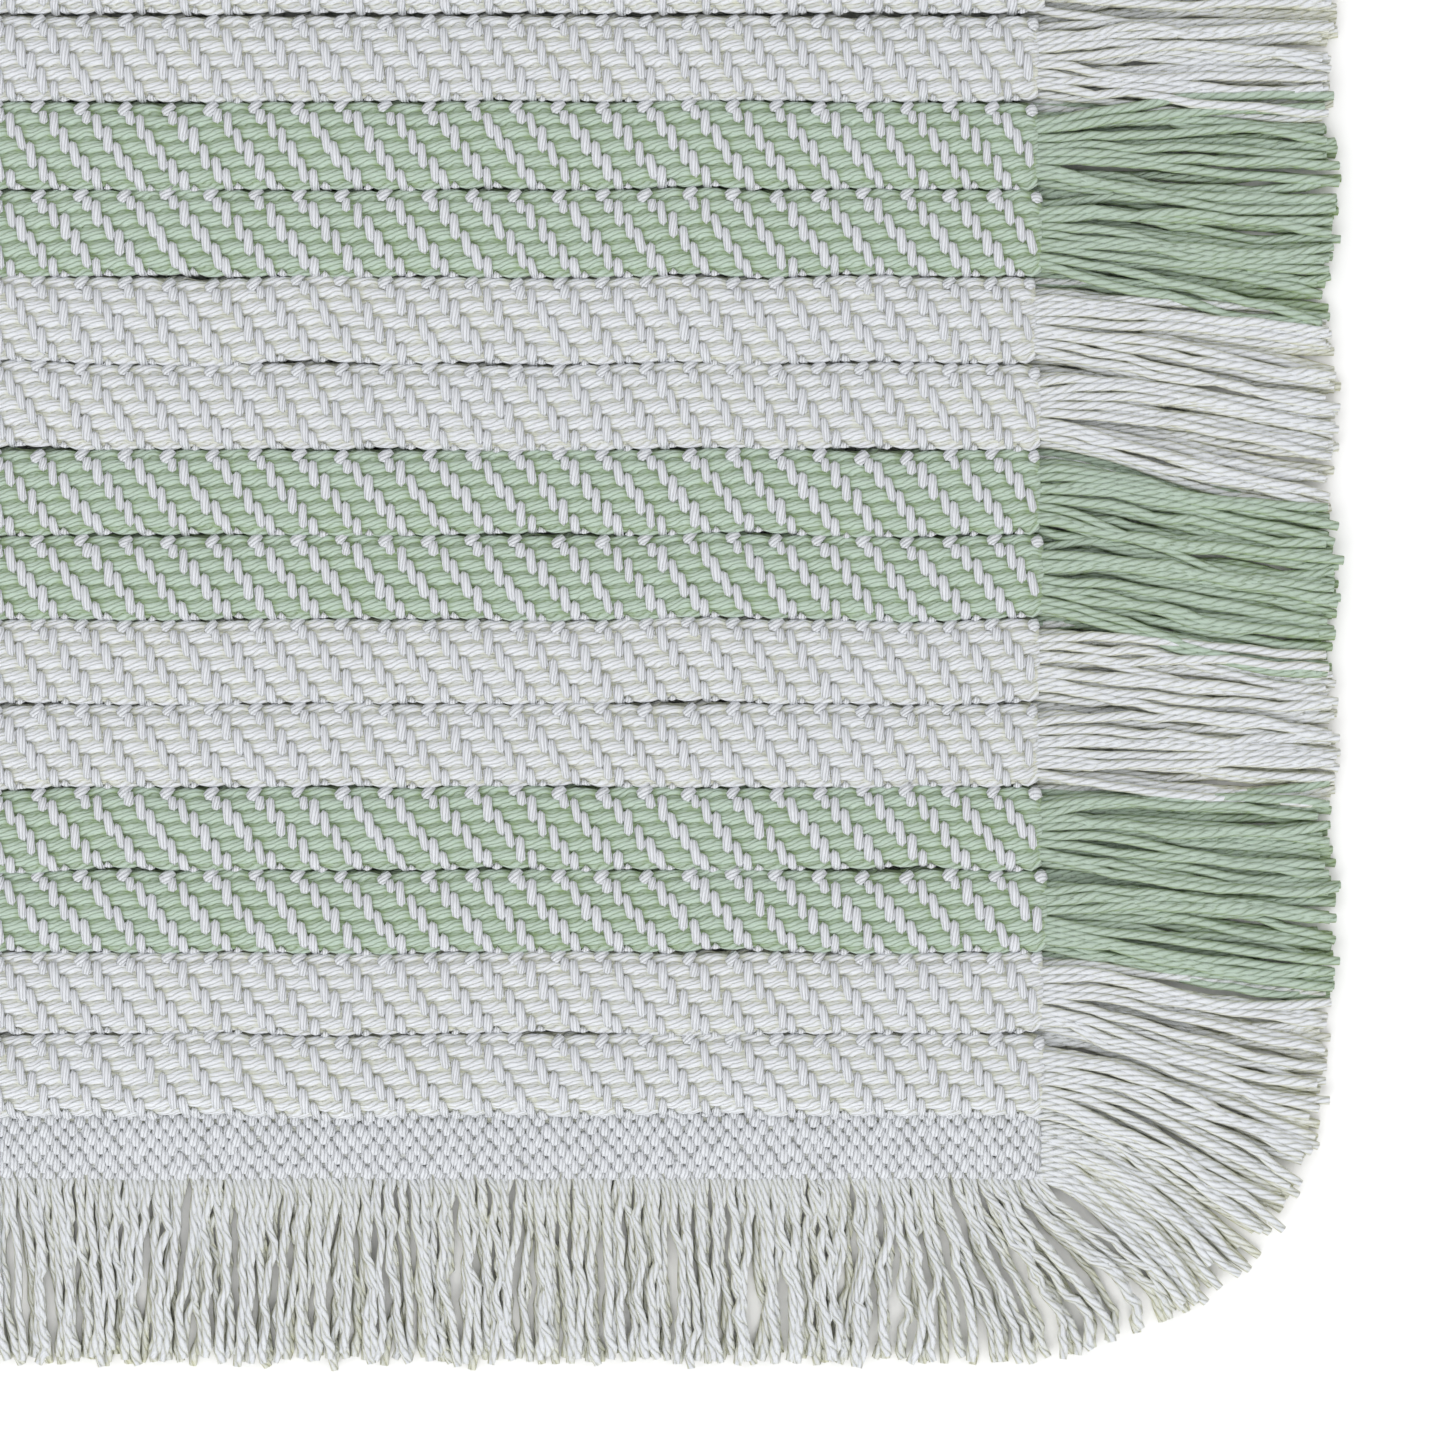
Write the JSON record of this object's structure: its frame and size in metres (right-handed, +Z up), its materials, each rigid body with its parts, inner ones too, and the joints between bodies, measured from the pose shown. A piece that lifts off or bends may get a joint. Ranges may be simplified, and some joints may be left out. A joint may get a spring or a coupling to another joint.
{
  "type": "bath mat",
  "caption": "Rectangular woven cotton bath mat with lapped ribs in white and sage green stripes and a cut fringe all round, folding in half across the ribs.",
  "frame": {"origin": "centre of the mat's footprint, on the floor it lies on", "axes": "+X along the ribs and the mat's length, +Y across the ribs towards the back, +Z up"},
  "size_m": [0.8, 0.5, 0.0085],
  "materials": {
    "white_cotton": "matte",
    "green_cotton": "matte"
  },
  "bodies": {
    "front_half": {"end_fringe_front": "white_cotton", "ground_cloth_front": "white_cotton", "heading_front": "white_cotton", "rib_01_white": "white_cotton", "rib_02_white": "white_cotton", "rib_03_green": "green_cotton", "rib_04_green": "green_cotton", "rib_05_white": "white_cotton", "rib_06_white": "white_cotton", "rib_07_green": "green_cotton", "rib_08_green": "green_cotton", "rib_09_white": "white_cotton", "rib_10_white": "white_cotton", "rib_11_green": "green_cotton", "rib_12_green": "green_cotton", "rib_13_white": "white_cotton", "side_fringe_left_01_white": "white_cotton", "side_fringe_left_02_green": "green_cotton", "side_fringe_left_03_white": "white_cotton", "side_fringe_left_04_green": "green_cotton", "side_fringe_left_05_white": "white_cotton", "side_fringe_left_06_green": "green_cotton", "side_fringe_left_07a_white": "white_cotton", "side_fringe_right_01_white": "white_cotton", "side_fringe_right_02_green": "green_cotton", "side_fringe_right_03_white": "white_cotton", "side_fringe_right_04_green": "green_cotton", "side_fringe_right_05_white": "white_cotton", "side_fringe_right_06_green": "green_cotton", "side_fringe_right_07a_white": "white_cotton"},
    "back_half": {"end_fringe_back": "white_cotton", "ground_cloth_back": "white_cotton", "heading_back": "white_cotton", "rib_14_white": "white_cotton", "rib_15_green": "green_cotton", "rib_16_green": "green_cotton", "rib_17_white": "white_cotton", "rib_18_white": "white_cotton", "rib_19_green": "green_cotton", "rib_20_green": "green_cotton", "rib_21_white": "white_cotton", "rib_22_white": "white_cotton", "rib_23_green": "green_cotton", "rib_24_green": "green_cotton", "rib_25_white": "white_cotton", "rib_26_white": "white_cotton", "side_fringe_left_07b_white": "white_cotton", "side_fringe_left_08_green": "green_cotton", "side_fringe_left_09_white": "white_cotton", "side_fringe_left_10_green": "green_cotton", "side_fringe_left_11_white": "white_cotton", "side_fringe_left_12_green": "green_cotton", "side_fringe_left_13_white": "white_cotton", "side_fringe_right_07b_white": "white_cotton", "side_fringe_right_08_green": "green_cotton", "side_fringe_right_09_white": "white_cotton", "side_fringe_right_10_green": "green_cotton", "side_fringe_right_11_white": "white_cotton", "side_fringe_right_12_green": "green_cotton", "side_fringe_right_13_white": "white_cotton"}
  },
  "joints": [
    {"name": "half_fold", "type": "hinge", "parent": "front_half", "child": "back_half", "pos_m": [0, 0, 0.009], "axis": [1, 0, 0], "range_deg": [0, 180]}
  ]
}
